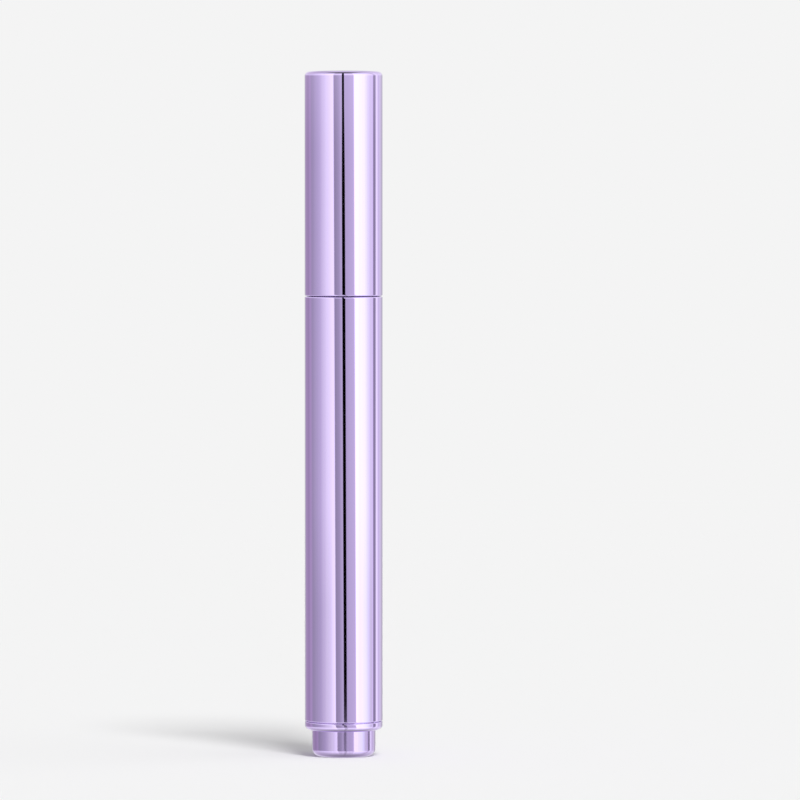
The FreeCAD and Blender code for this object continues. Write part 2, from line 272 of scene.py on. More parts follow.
# subsurface is how much light goes under the skin, and glow how far each colour of it spreads there
plasticLooks = {
    "neck_plastic": {"name": "neckPlastic", "colour": (0.91, 0.895, 0.93), "deepColour": (0.885, 0.87, 0.91),
                     "roughness": 0.22, "peelShare": 0.08},
    "retainer_plastic": {"name": "retainerPlastic", "colour": (0.92, 0.74, 0.84),
                         "deepColour": (0.89, 0.70, 0.81), "roughness": 0.22, "peelShare": 0.08,
                         "subsurface": 0.45, "glow": (1, 0.6, 0.75)},
    "liner_plastic": {"name": "linerPlastic", "colour": (0.84, 0.84, 0.86), "deepColour": (0.80, 0.80, 0.83),
                      "roughness": 0.34, "subsurface": 0.2},
    "natural_plastic": {"name": "naturalPlastic", "colour": (0.80, 0.79, 0.76),
                        "deepColour": (0.75, 0.74, 0.71), "roughness": 0.42, "subsurface": 0.2},
    "white_plastic": {"name": "whitePlastic", "colour": (0.86, 0.86, 0.87), "deepColour": (0.82, 0.82, 0.84),
                      "roughness": 0.38, "subsurface": 0.1},
    "acetal": {"name": "acetalPlastic", "colour": (0.78, 0.78, 0.76), "deepColour": (0.73, 0.73, 0.72),
               "roughness": 0.34, "subsurface": 0.1},
    "seal_rubber": {"name": "sealRubber", "colour": (0.22, 0.22, 0.24), "deepColour": (0.17, 0.17, 0.19),
                    "roughness": 0.6},
}


def mouldedPlastic(name, colour, deepColour, roughness, peelShare=0.35, subsurface=0, glow=(1, 1, 1)):
    # faint clouding in the colour and the fine orange peel of a moulded face
    look = mouldedLook
    material, nodes, links, shader = newMaterial(name)
    place = patternPlace(nodes, links, evenScale)
    clouds = noiseOf(nodes, links, place, look["cloudFineness"], look["cloudDetail"])
    peel = noiseOf(nodes, links, place, look["peelFineness"], look["peelDetail"])
    links.new(noiseColour(nodes, links, clouds, deepColour, colour), shader.inputs["Base Color"])
    low, high = (roughness * share for share in look["roughnessShares"])
    links.new(rangeOf(nodes, links, peel, low, high), shader.inputs["Roughness"])
    bumpOf(nodes, links, peel, shader, look["peelHeight"], peelShare)
    shader.inputs["Subsurface Weight"].default_value = subsurface
    shader.inputs["Subsurface Radius"].default_value = glow
    shader.inputs["Subsurface Scale"].default_value = look["glowDepth"]
    shader.inputs["IOR"].default_value = look["refraction"]
    return material


clearLook = {
    "flowScale": (1, 1, 0.2),
    "flowFineness": 500,
    "flowDetail": 2,
    "colour": (0.97, 0.98, 0.99),
    "deepColour": (0.93, 0.94, 0.96),
    "roughness": (0.05, 0.12),
    "clearness": 0.92,
    "refraction": 1.49,
}


def clearPlastic(name):
    look = clearLook
    material, nodes, links, shader = newMaterial(name)
    flow = noiseOf(nodes, links, patternPlace(nodes, links, look["flowScale"]),
                   look["flowFineness"], look["flowDetail"])
    links.new(noiseColour(nodes, links, flow, look["deepColour"], look["colour"]),
              shader.inputs["Base Color"])
    links.new(rangeOf(nodes, links, flow, *look["roughness"]), shader.inputs["Roughness"])
    shader.inputs["Transmission Weight"].default_value = look["clearness"]
    shader.inputs["IOR"].default_value = look["refraction"]
    return material


steelLook = {
    "scratchScale": (1, 1, 0.06),
    "scratchFineness": 5200,
    "scratchDetail": 3,
    "colour": (0.66, 0.67, 0.69),
    "deepColour": (0.50, 0.51, 0.53),
    "roughness": (0.14, 0.26),
    "bumpHeight": 0.002 * mm,
    "bumpShare": 0.5,
}


def drawnSteel(name):
    look = steelLook
    material, nodes, links, shader = newMaterial(name)
    shader.inputs["Metallic"].default_value = 1
    scratches = noiseOf(nodes, links, patternPlace(nodes, links, look["scratchScale"]),
                        look["scratchFineness"], look["scratchDetail"])
    links.new(noiseColour(nodes, links, scratches, look["deepColour"], look["colour"]),
              shader.inputs["Base Color"])
    links.new(rangeOf(nodes, links, scratches, *look["roughness"]), shader.inputs["Roughness"])
    bumpOf(nodes, links, scratches, shader, look["bumpHeight"], look["bumpShare"])
    return material


foamLook = {
    "colour": (0.89, 0.535, 0.725),
    # the pores' deeper colour is painted shade in their hollows
    "porePaintedShade": (0.67, 0.325, 0.51),
    "poreFineness": 4600,
    "poreScatter": 0.9,
    "poreOpening": (0.05, 0.38),             # from a pore's middle, where it passes into the skin
    "poreDepth": 0.05 * mm,
    "poreShare": 0.5,
    "cloudFineness": 420,
    "cloudDetail": 3,
    "roughness": (0.78, 0.95),
    "rimColour": (0.95, 0.66, 0.81),
    # the cut's deeper colour is painted shade, where the cut faces away from the low side light
    "cutPaintedShade": (0.66, 0.405, 0.55),
    "cutReach": 0.6 * mm,
    "cutShares": (0.3, 0.5, 0.68, 0.84),     # of that reach, where the shades pass into one another
    "subsurface": 0.25,
    "glow": (1, 0.45, 0.62),
    "glowDepth": 1.1 * mm,
    "sheen": 0.15,
    "gloss": 0.2,
}


def poreFoam(name, cutMiddle, cutNormal):
    # the slanted cut is a shade deeper than the moulded side, as painted shade where it faces away from the
    # low side light, with a paler rim between them
    look = foamLook
    material, nodes, links, shader = newMaterial(name)
    place = patternPlace(nodes, links, evenScale)
    pores = nodes.new("ShaderNodeTexVoronoi")
    pores.inputs["Scale"].default_value = look["poreFineness"]
    pores.inputs["Randomness"].default_value = look["poreScatter"]
    links.new(place, pores.inputs["Vector"])
    fromCut = nodes.new("ShaderNodeVectorMath")
    fromCut.operation = "DOT_PRODUCT"
    links.new(place, fromCut.inputs[0])
    fromCut.inputs[1].default_value = cutNormal
    cutDepth = cutMiddle.dot(cutNormal)
    skin = rangeOf(nodes, links, fromCut.outputs["Value"], 0, 1, cutDepth - look["cutReach"], cutDepth)
    shades = (look["colour"], look["rimColour"], look["rimColour"], look["cutPaintedShade"])
    body = toneRamp(nodes, links, skin, list(zip(look["cutShares"], shades)))
    skinShare = rangeOf(nodes, links, pores.outputs["Distance"], 0, 1, *look["poreOpening"])
    links.new(blendedColour(nodes, links, skinShare, look["porePaintedShade"], body), shader.inputs["Base Color"])
    bumpOf(nodes, links, pores.outputs["Distance"], shader, look["poreDepth"], look["poreShare"])
    clouds = noiseOf(nodes, links, place, look["cloudFineness"], look["cloudDetail"])
    links.new(rangeOf(nodes, links, clouds, *look["roughness"]), shader.inputs["Roughness"])
    shader.inputs["Subsurface Weight"].default_value = look["subsurface"]
    shader.inputs["Subsurface Radius"].default_value = look["glow"]
    shader.inputs["Subsurface Scale"].default_value = look["glowDepth"]
    shader.inputs["Sheen Weight"].default_value = look["sheen"]
    shader.inputs["Specular IOR Level"].default_value = look["gloss"]
    return material


materials = {
    "lilac_metal": lilacMetal("lilacMetal", lilacMetalLook["polished"]),
    "buttonMetal": lilacMetal("lilacMetalSatinPaintedShade", lilacMetalLook["satinAndPaintedShade"]),
    "clear_plastic": clearPlastic("clearPlastic"),
    "steel": drawnSteel("drawnSteel"),
}
for finish, plasticLook in plasticLooks.items():
    materials[finish] = mouldedPlastic(**plasticLook)
print("stage: the finishes are mixed")


# Studio

studioLook = {
    "cameraPlace": (0.01086, -1.175, 0.107),
    "cameraAim": (0.01086, 0, 0.06867),
    "lens": 274.5,
    "filmWidth": 36,
    "nearest": 0.01,
    "paper": 0.905,              # the pale background, as the camera sees it
    "roomLight": 0.46,
    "floorColour": 0.85,
    "floorSize": 12,
    "floorFade": (0.35, 1.0),    # metres from the pen, between which it passes into the background
    # suns: degrees to the right of the camera, degrees up, strength and spread
    "suns": [("keyLight", 23, 61.5, 1.9, 18), ("sideLight", 82, 25, 0.55, 60)],
}


def addCamera():
    place = Vector(studioLook["cameraPlace"])
    aim = Vector(studioLook["cameraAim"]) - place
    bpy.ops.object.camera_add(location=place, rotation=aim.to_track_quat("-Z", "Y").to_euler())
    camera = bpy.context.object
    camera.name = "productCamera"
    camera.data.lens = studioLook["lens"]
    camera.data.sensor_width = studioLook["filmWidth"]
    camera.data.clip_start = studioLook["nearest"]
    bpy.context.scene.camera = camera


def addRoom():
    # the room lights the pen evenly, and the camera, gloss and glass see it as pale paper
    world = bpy.data.worlds.new("room")
    bpy.context.scene.world = world
    world.use_nodes = True
    nodes = world.node_tree.nodes
    links = world.node_tree.links
    path = nodes.new("ShaderNodeLightPath")
    seen = mathOf(nodes, links, "MAXIMUM", path.outputs["Is Camera Ray"], path.outputs["Is Glossy Ray"])
    clear = mathOf(nodes, links, "MAXIMUM", seen, path.outputs["Is Transmission Ray"])
    strength = rangeOf(nodes, links, clear, studioLook["roomLight"], studioLook["paper"], 0, 1)
    links.new(strength, nodes["Background"].inputs["Strength"])
    nodes["Background"].inputs["Color"].default_value = (1, 1, 1, 1)


def addSuns():
    for name, toTheRight, up, strength, spread in studioLook["suns"]:
        azimuth, height = math.radians(toTheRight), math.radians(up)
        towards = Vector((math.sin(azimuth) * math.cos(height), -math.cos(azimuth) * math.cos(height),
                          math.sin(height)))
        bpy.ops.object.light_add(type="SUN", rotation=towards.to_track_quat("Z", "Y").to_euler())
        sun = bpy.context.object
        sun.name = name
        sun.data.energy = strength
        sun.data.angle = math.radians(spread)
        sun.visible_glossy = False


def addFloor():
    # a pale matt floor that keeps the shadow, and fades into the background far from the pen
    bpy.ops.mesh.primitive_plane_add(size=studioLook["floorSize"])
    floor = bpy.context.object
    floor.name = "studioFloor"
    floor.visible_glossy = False
    material, nodes, links, shader = newMaterial("paleFloor")
    shade = (studioLook["floorColour"],) * 3
    shader.inputs["Base Color"].default_value = (*shade, 1)
    shader.inputs["Roughness"].default_value = 1
    shader.inputs["Specular IOR Level"].default_value = 0
    glow = nodes.new("ShaderNodeEmission")
    glow.inputs["Strength"].default_value = studioLook["paper"]
    place = nodes.new("ShaderNodeTexCoord")
    distance = nodes.new("ShaderNodeVectorMath")
    distance.operation = "LENGTH"
    links.new(place.outputs["Object"], distance.inputs[0])
    far = rangeOf(nodes, links, distance.outputs["Value"], 0, 1, *studioLook["floorFade"])
    blend = nodes.new("ShaderNodeMixShader")
    links.new(far, blend.inputs[0])
    links.new(shader.outputs[0], blend.inputs[1])
    links.new(glow.outputs[0], blend.inputs[2])
    links.new(blend.outputs[0], nodes["Material Output"].inputs["Surface"])
    floor.data.materials.append(material)


# Reflector tent

plain = (1, 1, 1)
violet = (1, 0.95, 1.08)
plum = (1, 0.82, 1.06)
sky = (0.9, 1, 1.02)
# A big ball round the pen, which only the pen's gloss sees. Angles are degrees to the right of the
# camera, or degrees up, and heights are shares of the ball's radius.
tentLook = {
    "radius": 0.9,
    "segments": 96,
    "rings": 48,
    # degrees to the right, brightness and tint; two stops close together are the edge of a panel
    "panels": [
        (-180, 0.60, plain), (-152, 0.58, plain), (-149, 0.47, plum), (-134, 0.45, plum),
        (-126, 0.41, plum), (-114, 0.52, plum), (-104, 0.44, violet), (-96, 0.49, violet),
        (-72, 0.66, violet), (-50, 1.0, plain), (-32, 1.22, plain), (-25.6, 1.26, plain),
        (-23.8, 0.37, violet), (-12, 0.46, violet), (-3, 0.63, violet), (7, 0.61, violet),
        (34.4, 0.71, violet), (36.4, 1.66, plain), (68, 1.52, sky), (88, 0.93, plain), (97, 0.93, violet),
        (99.6, 0.36, violet), (109.4, 0.33, violet), (111.6, 1.18, plain), (120, 1.1, plain),
        (124, 0.80, violet), (140, 0.84, plain), (148, 0.62, plain), (180, 0.60, plain),
    ],
    # low down the panels are a little dimmer: degrees to the right, and the brightness that is left
    "lowShares": [(-180, 1), (-112, 1), (-100, 0.88), (-40, 0.86), (-28, 1), (34, 1), (42, 0.94), (90, 0.88),
                  (98, 1), (180, 1)],
    "lowFade": (-0.035, 0.005),
    # the panels lean to the left as they rise, up to a height, and stand upright at the far right
    "lean": 0.495,
    "leanHeight": 0.17,
    "uprightFade": (76, 98),
    # above and below they pass into plain paper: degrees up, and its brightness or share
    "paperTones": [(-90, 0.4), (-60, 0.6), (-38, 0.95), (-18, 1.5), (18, 1.6), (40, 1.4), (58, 0.9),
                   (90, 1.0)],
    "paperShares": [(-90, 1), (-55, 0.95), (-40, 0.7), (-18, 0.65), (-8, 0), (8, 0), (18, 0.6), (40, 0.5),
                    (60, 0.6), (76, 1), (90, 1)],
    "backShare": 0.75,           # the paper is dimmer behind the pen
    "backFade": (-0.45, 0.3),
    # the ceiling is dark on the camera's side
    "ceilingTones": [(-90, 1), (46, 1), (55, 0.55), (63, 0.12), (90, 0.06)],
    "ceilingFade": (0, 0.14),
}
# The narrow black flag in front of the panels, in degrees across and in heights along it
flagLook = {
    "middle": 3.4,
    "halfWidth": 4.6,
    "softness": 0.7,
    "footShare": 0.3,            # how black it is below its foot
    "footFade": (-0.0788, -0.0778),
    "topShare": 0.7,             # how wide it is past its taper
    "taper": (0.127, 0.153),
    "topFade": (0.80, 0.92),
}


def turnRamp(nodes, links, azimuth, tones):
    # tones are pairs of the degrees to the right of the camera and a colour
    turn = rangeOf(nodes, links, azimuth, 0, 1, -math.pi, math.pi)
    return toneRamp(nodes, links, turn, [((angle + 180) / 360, colour) for angle, colour in tones])


def heightRamp(nodes, links, height, tones):
    # tones are pairs of the degrees up and a grey
    rise = rangeOf(nodes, links, height, 0, 1, -1, 1)
    stops = [((math.sin(math.radians(angle)) + 1) / 2, (tone, tone, tone)) for angle, tone in tones]
    return toneRamp(nodes, links, rise, stops)


def tentPlace(nodes, links):
    # height and distance to the front as shares of the radius, and the angle to the right among the
    # leaning panels
    look = tentLook
    place = nodes.new("ShaderNodeTexCoord")
    unit = nodes.new("ShaderNodeVectorMath")
    unit.operation = "NORMALIZE"
    links.new(place.outputs["Object"], unit.inputs[0])
    parts = nodes.new("ShaderNodeSeparateXYZ")
    links.new(unit.outputs[0], parts.inputs[0])
    height = parts.outputs["Z"]
    forward = mathOf(nodes, links, "MULTIPLY", parts.outputs["Y"], -1)
    azimuth = mathOf(nodes, links, "ARCTAN2", parts.outputs["X"], forward)
    most = look["leanHeight"] * look["lean"]
    lean = rangeOf(nodes, links, height, -most, most, -look["leanHeight"], look["leanHeight"])
    fadeFrom, fadeTo = (math.radians(angle) for angle in look["uprightFade"])
    leaning = rangeOf(nodes, links, azimuth, 1, 0, fadeFrom, fadeTo)
    azimuth = mathOf(nodes, links, "ADD", azimuth, mathOf(nodes, links, "MULTIPLY", lean, leaning))
    return height, forward, azimuth


def panelColour(nodes, links, azimuth, height, brightest):
    look = tentLook
    tones = [(angle, [tone * part / brightest for part in tint]) for angle, tone, tint in look["panels"]]
    panels = turnRamp(nodes, links, azimuth, tones)
    dimmed = turnRamp(nodes, links, azimuth, [(angle, (share,) * 3) for angle, share in look["lowShares"]])
    low = rangeOf(nodes, links, height, 1, 0, *look["lowFade"])
    return blendedColour(nodes, links, 1, panels, blendedColour(nodes, links, low, plain, dimmed), "MULTIPLY")


def paperColour(nodes, links, height, forward, brightest):
    look = tentLook
    tones = [(angle, tone / brightest) for angle, tone in look["paperTones"]]
    facing = rangeOf(nodes, links, forward, look["backShare"], 1, *look["backFade"])
    return scaledColour(nodes, links, heightRamp(nodes, links, height, tones), facing)


def ceilingShade(nodes, links, height, forward):
    front = rangeOf(nodes, links, forward, 0, 1, *tentLook["ceilingFade"])
    ceiling = heightRamp(nodes, links, height, tentLook["ceilingTones"])
    return blendedColour(nodes, links, front, plain, ceiling)


def flagCover(nodes, links, azimuth, height):
    # 1 where the flag hides the panels
    look = flagLook
    side = mathOf(nodes, links, "ABSOLUTE",
                  mathOf(nodes, links, "SUBTRACT", azimuth, math.radians(look["middle"])))
    taper = rangeOf(nodes, links, height, 1, look["topShare"], *look["taper"])
    side = mathOf(nodes, links, "DIVIDE", side, taper)
    half, soft = math.radians(look["halfWidth"]), math.radians(look["softness"])
    across = rangeOf(nodes, links, side, 1, 0, half - soft, half + soft)
    foot = rangeOf(nodes, links, height, look["footShare"], 1, *look["footFade"])
    top = rangeOf(nodes, links, height, 1, 0, *look["topFade"])
    return mathOf(nodes, links, "MULTIPLY", mathOf(nodes, links, "MULTIPLY", across, foot), top)


def addTent():
    look = tentLook
    bpy.ops.mesh.primitive_uv_sphere_add(segments=look["segments"], ring_count=look["rings"],
                                         radius=look["radius"])
    tent = bpy.context.object
    tent.name = "reflectorTent"
    bpy.ops.object.shade_smooth()
    material, nodes, links, shader = newMaterial("tentPanels")
    height, forward, azimuth = tentPlace(nodes, links)
    brightest = max(tone for angle, tone, tint in look["panels"]) * max(violet)
    colour = blendedColour(nodes, links, heightRamp(nodes, links, height, look["paperShares"]),
                           panelColour(nodes, links, azimuth, height, brightest),
                           paperColour(nodes, links, height, forward, brightest))
    colour = blendedColour(nodes, links, 1, colour, ceilingShade(nodes, links, height, forward), "MULTIPLY")
    left = mathOf(nodes, links, "SUBTRACT", 1, flagCover(nodes, links, azimuth, height))
    glow = nodes.new("ShaderNodeEmission")
    links.new(mathOf(nodes, links, "MULTIPLY", left, brightest), glow.inputs["Strength"])
    links.new(colour, glow.inputs["Color"])
    links.new(glow.outputs[0], nodes["Material Output"].inputs["Surface"])
    tent.data.materials.append(material)
    tent.visible_camera = False
    tent.visible_diffuse = False
    tent.visible_transmission = False
    tent.visible_shadow = False
    tent.visible_volume_scatter = False


bpy.context.scene.view_settings.view_transform = "Standard"
deselectAll()
addCamera()
addRoom()
addSuns()
addFloor()
addTent()
print("stage: the studio is set")


# Metal shells

shellLook = {
    "sides": 192,
    "wall": 0.4 * mm,
    "capEdge": 0.85 * mm,
    "capEdgeFrom": 84,           # degrees, where the crown passes into the rounded edge
    "capEdgeSteps": 14,
    "capCrown": 0.2 * mm,        # the top is a little fuller in the middle
    "crownSteps": 8,
    "innerCorner": 0.5 * mm,
    "cornerSteps": 5,
    "lip": 0.24 * mm,
    "lipSteps": 6,
    "footLip": 0.2 * mm,
    "footSteps": 5,
    "innerLip": 0.06 * mm,
    "innerSteps": 3,
    "support": 0.06 * mm,        # a ring this far from each rounding keeps the long side true
}


def capShell():
    look = shellLook
    radius, low, top = nodeReach("cap_shell")
    edge, lip, inner, wall = look["capEdge"], look["lip"], look["innerLip"], look["wall"]
    bore = radius - wall
    crownHeight = top - look["capCrown"]
    flat = radius - edge
    outline = []
    for step in range(look["crownSteps"] + 1):        # the crown is a shallow dome
        share = step / look["crownSteps"]
        outline.append((flat * share, top - look["capCrown"] * share ** 2))
    outline += arcPoints((flat, crownHeight - edge), edge, look["capEdgeFrom"], 0, look["capEdgeSteps"])
    outline += [(radius, crownHeight - edge - look["support"]), (radius, low + lip + look["support"])]
    outline += arcPoints((radius - lip, low + lip), lip, 0, -90, look["lipSteps"])
    outline += arcPoints((bore + inner, low + inner), inner, -90, -180, look["innerSteps"])
    outline += [(bore, low + inner + look["support"])]
    corner = look["innerCorner"]
    ceiling = crownHeight - wall
    outline += arcPoints((bore - corner, ceiling - corner), corner, 0, 90, look["cornerSteps"])
    outline += [(0, ceiling)]
    piece = turnPiece("capShell", outline, look["sides"])
    smoothPiece(piece)
    dressPiece(piece, materials["lilac_metal"], "cap", "cap_shell")


def barrelShell():
    look = shellLook
    radius, low, top = nodeReach("barrel_shell")
    lip, foot, inner = look["lip"], look["footLip"], look["innerLip"]
    bore = radius - look["wall"]
    outline = [(bore, low + inner)]
    outline += arcPoints((bore + inner, low + inner), inner, 180, 270, look["innerSteps"])[1:]
    outline += arcPoints((radius - foot, low + foot), foot, -90, 0, look["footSteps"])
    outline += [(radius, low + foot + look["support"]), (radius, top - lip - look["support"])]
    outline += arcPoints((radius - lip, top - lip), lip, 0, 90, look["lipSteps"])
    outline += arcPoints((bore + inner, top - inner), inner, 90, 180, look["innerSteps"])
    outline += [(bore, low + inner)]
    piece = turnPiece("barrelShell", outline, look["sides"])
    smoothPiece(piece)
    dressPiece(piece, materials["lilac_metal"], "barrel", "barrel_shell")


# End ring and button

ringLook = {
    "bandHeight": 1.64 * mm,
    "edge": 0.95 * mm,
    "edgeSteps": 12,
    "upperEdge": 0.2 * mm,
    "upperSteps": 5,
    "spigotStep": 0.45 * mm,
    "bore": 6.2 * mm,
    "boreEdge": 0.12 * mm,
    "boreSteps": 3,
}


def endRing():
    look = ringLook
    radius, low, top = nodeReach("end_ring")
    edge, upper, small = look["edge"], look["upperEdge"], look["boreEdge"]
    bore, support = look["bore"], shellLook["support"]
    bandTop = low + look["bandHeight"]
    spigot = radius - look["spigotStep"]
    outline = [(bore, low + small)]
    outline += arcPoints((bore + small, low + small), small, 180, 270, look["boreSteps"])[1:]
    outline += [(radius - edge - support, low)]
    outline += arcPoints((radius - edge, low + edge), edge, -90, 0, look["edgeSteps"])
    outline += [(radius, low + edge + support), (radius, bandTop - upper - support)]
    outline += arcPoints((radius - upper, bandTop - upper), upper, 0, 90, look["upperSteps"])
    outline += [(spigot, bandTop), (spigot, top - small), (spigot - small, top),
                (bore + small, top), (bore, top - small), (bore, low + small)]
    piece = turnPiece("endRing", outline, shellLook["sides"])
    smoothPiece(piece)
    dressPiece(piece, materials["lilac_metal"], "barrel", "end_ring")


buttonLook = {
    "side": 6.12 * mm,
    "footEdge": 1.4 * mm,
    "footSteps": 16,
    "footDish": 0.05 * mm,       # the underside is a hair hollow inside its flat rim
    "footRim": 0.24 * mm,
    "dishSlope": 0.12 * mm,
    "wall": 0.4 * mm,
    "floor": 0.6 * mm,
    "flangeHeight": 1.0 * mm,
    "flangeEdge": 0.12 * mm,
    "flangeSteps": 3,
    "innerCorner": 0.6 * mm,
    "cornerSteps": 5,
}


def buttonCap():
    look = buttonLook
    rim, low, top = nodeReach("button_cap")
    side, edge, support = look["side"], look["footEdge"], shellLook["support"]
    bore = side - look["wall"]
    flange = top - look["flangeHeight"]
    small, corner = look["flangeEdge"], look["innerCorner"]
    floor = low + look["floor"]
    dishHeight = low + look["footDish"]
    dishEdge = side - edge - look["footRim"]
    outline = [(0, dishHeight), (dishEdge - look["dishSlope"], dishHeight), (dishEdge, low),
               (side - edge - support, low)]
    outline += arcPoints((side - edge, low + edge), edge, -90, 0, look["footSteps"])
    outline += [(side, low + edge + support), (side, flange - support), (side, flange)]
    outline += arcPoints((rim - small, flange + small), small, -90, 0, look["flangeSteps"])
    outline += arcPoints((rim - small, top - small), small, 0, 90, look["flangeSteps"])
    outline += [(bore + small, top), (bore, top - small), (bore, floor + corner + support)]
    outline += arcPoints((bore - corner, floor + corner), corner, 0, -90, look["cornerSteps"])
    outline += [(0, floor)]
    piece = turnPiece("buttonCap", outline, shellLook["sides"])
    smoothPiece(piece)
    dressPiece(piece, materials["buttonMetal"], "button", "button_cap")


# Neck and applicator

neckLook = {
    "sides": 160,
    "flangeHeight": 0.6 * mm,
    "foot": 6.6 * mm,
    "grip": 6.34 * mm,
    "sideSteps": 6,
    "shoulder": 0.18 * mm,       # the side draws in a little towards the top
    "shoulderHeight": 1.6 * mm,
    "flareHeight": 1.2 * mm,
    "topEdge": 0.12 * mm,
    "edgeSteps": 6,
    "mouthEdge": 0.06 * mm,
    "spigot": 5.65 * mm,
    "spigotHeight": 5.7 * mm,
    "socket": 5.32 * mm,
    "socketDepth": 2.9 * mm,
    "cavity": 4.97 * mm,
    "cavityFloor": 2.3 * mm,     # above the flange's underside
    "tubeHole": 0.75 * mm,
    "plugSocket": 2.4 * mm,
    "plugSocketDepth": 3.7 * mm,
}


def neckCollar():
    look = neckLook
    flange, low, top = nodeReach("neck_collar")
    flangeLow = low + look["spigotHeight"]
    flangeTop = flangeLow + look["flangeHeight"]
    foot, grip, spigot, edge = look["foot"], look["grip"], look["spigot"], look["topEdge"]
    plug, socket, cavity, hole = look["plugSocket"], look["socket"], look["cavity"], look["tubeHole"]
    plugTop = low + look["plugSocketDepth"]
    cavityFloor = flangeLow + look["cavityFloor"]
    socketFloor = top - look["socketDepth"]
    outline = [(plug, low), (spigot - edge, low), (spigot, low + edge), (spigot, flangeLow),
               (flange, flangeLow), (flange, flangeTop), (foot, flangeTop)]
    steps = look["sideSteps"]
    for step in range(1, steps + 1):        # the flare eases into the side
        share = step / steps
        outline.append((foot + (grip - foot) * math.sin(share * math.pi / 2),
                        flangeTop + look["flareHeight"] * share))
    for step in range(steps):
        share = step / steps
        outline.append((grip - look["shoulder"] * share ** 2,
                        top - edge - look["shoulderHeight"] * (1 - share)))
    mouth = grip - look["shoulder"]
    outline += arcPoints((mouth - edge, top - edge), edge, 0, 90, look["edgeSteps"])
    outline += [(socket + look["mouthEdge"], top), (socket, top - look["mouthEdge"]), (socket, socketFloor),
                (cavity, socketFloor), (cavity, cavityFloor), (hole, cavityFloor), (hole, plugTop),
                (plug, plugTop), (plug, low)]
    piece = turnPiece("neckCollar", outline, look["sides"])
    smoothPiece(piece)
    dressPiece(piece, materials["neck_plastic"], "barrel", "neck_collar")


retainerLook = {
    "sides": 160,
    "skirt": 5.27 * mm,
    "bore": 4.67 * mm,
    "bandHeight": 2.45 * mm,
    "footStep": 0.06 * mm,
    "topRadius": 5.64 * mm,
    "topEdge": 0.3 * mm,
    "topFrom": 8,                # degrees, where the tapered side passes into the top edge
    "topSteps": 6,
    "footEdge": 0.12 * mm,
    "footSteps": 3,
    "mouthEdge": 0.15 * mm,
    "mouthSteps": 4,
}


def tipRetainer():
    look = retainerLook
    widest, low, top = nodeReach("tip_retainer")
    foot = widest - look["footStep"]
    footHeight = top - look["bandHeight"]
    edge, small, mouth = look["topEdge"], look["footEdge"], look["mouthEdge"]
    bore, skirt = look["bore"], look["skirt"]
    outline = [(bore, low), (skirt - mouth, low), (skirt, low + mouth), (skirt, footHeight),
               (foot - small, footHeight)]
    outline += arcPoints((foot - small, footHeight + small), small, -90, 0, look["footSteps"])[1:]
    outline += arcPoints((look["topRadius"] - edge, top - edge), edge, look["topFrom"], 90, look["topSteps"])
    outline += arcPoints((bore + mouth, top - mouth), mouth, 90, 180, look["mouthSteps"])
    outline += [(bore, low)]
    piece = turnPiece("tipRetainer", outline, look["sides"])
    smoothPiece(piece)
    dressPiece(piece, materials["retainer_plastic"], "barrel", "tip_retainer")


spongeLook = {
    "sides": 96,
    "hole": 1.95 * mm,
    "holeTop": 107.05 * mm,
    "slant": 36,                 # degrees below level
    "turn": 5,                   # degrees, the high side's turn to the left
    "cutReach": 0.01 * mm,       # a corner this near the cut is on it
    "rimBevel": 0.22 * mm,
    "rimSegments": 3,
    "voxel": 0.1 * mm,
    "settleShare": 0.5,
    "settleSteps": 4,
    "poreSize": 0.35 * mm,
    "poreDepth": 0.05 * mm,
    "pitCount": 26,
    "pitSize": 0.22 * mm,
    "pitDepth": 0.16 * mm,
    "pitHeights": (102.5 * mm, 107 * mm),
    "skinDepth": 0.3 * mm,       # only corners this near the side are pitted
    "seed": 7,
    "crease": 60,
}


def spongeTip():
    look = spongeLook
    radius, low, top = nodeReach("sponge_tip")
    hole, holeTop = look["hole"], look["holeTop"]
    outline = [(0, holeTop), (hole, holeTop), (hole, low), (radius, low), (radius, top), (0, top)]
    piece = turnPiece("spongeTip", outline, look["sides"])
    pickOnly(piece)
    slant = math.radians(look["slant"])
    turn = Matrix.Rotation(math.radians(look["turn"]), 3, "Z")
    normal = turn @ Vector((0, -math.sin(slant), math.cos(slant)))
    middle = Vector((0, 0, top - radius * math.tan(slant)))
    bpy.ops.object.mode_set(mode="EDIT")
    bpy.ops.mesh.select_all(action="SELECT")
    bpy.ops.mesh.bisect(plane_co=middle, plane_no=normal, use_fill=True, clear_outer=True)
    bpy.ops.object.mode_set(mode="OBJECT")
    # only the rim of the cut is bevelled
    for edge in piece.data.edges:
        ends = [piece.data.vertices[index].co for index in edge.vertices]
        edge.select = all(abs((end - middle).dot(normal)) < look["cutReach"] for end in ends)
    bpy.ops.object.mode_set(mode="EDIT")
    bpy.ops.mesh.bevel(offset=look["rimBevel"], segments=look["rimSegments"])
    bpy.ops.object.mode_set(mode="OBJECT")
    remesh = piece.modifiers.new("foamSkin", "REMESH")
    remesh.mode = "VOXEL"
    remesh.voxel_size = look["voxel"]
    bpy.ops.object.modifier_apply(modifier=remesh.name)
    settle = piece.modifiers.new("settle", "SMOOTH")
    settle.factor = look["settleShare"]
    settle.iterations = look["settleSteps"]
    bpy.ops.object.modifier_apply(modifier=settle.name)
    openPores(piece)
    sinkPits(piece, radius)
    smoothPiece(piece, look["crease"])
    dressPiece(piece, poreFoam("poreFoam", middle, normal), "barrel", "sponge_tip")


def openPores(piece):
    pores = bpy.data.textures.new("foamPores", "VORONOI")
    pores.noise_scale = spongeLook["poreSize"]
    pores.noise_intensity = 1
    displace = piece.modifiers.new("pores", "DISPLACE")
    displace.texture = pores
    displace.texture_coords = "LOCAL"
    displace.mid_level = 1
    displace.strength = spongeLook["poreDepth"]
    bpy.ops.object.modifier_apply(modifier=displace.name)


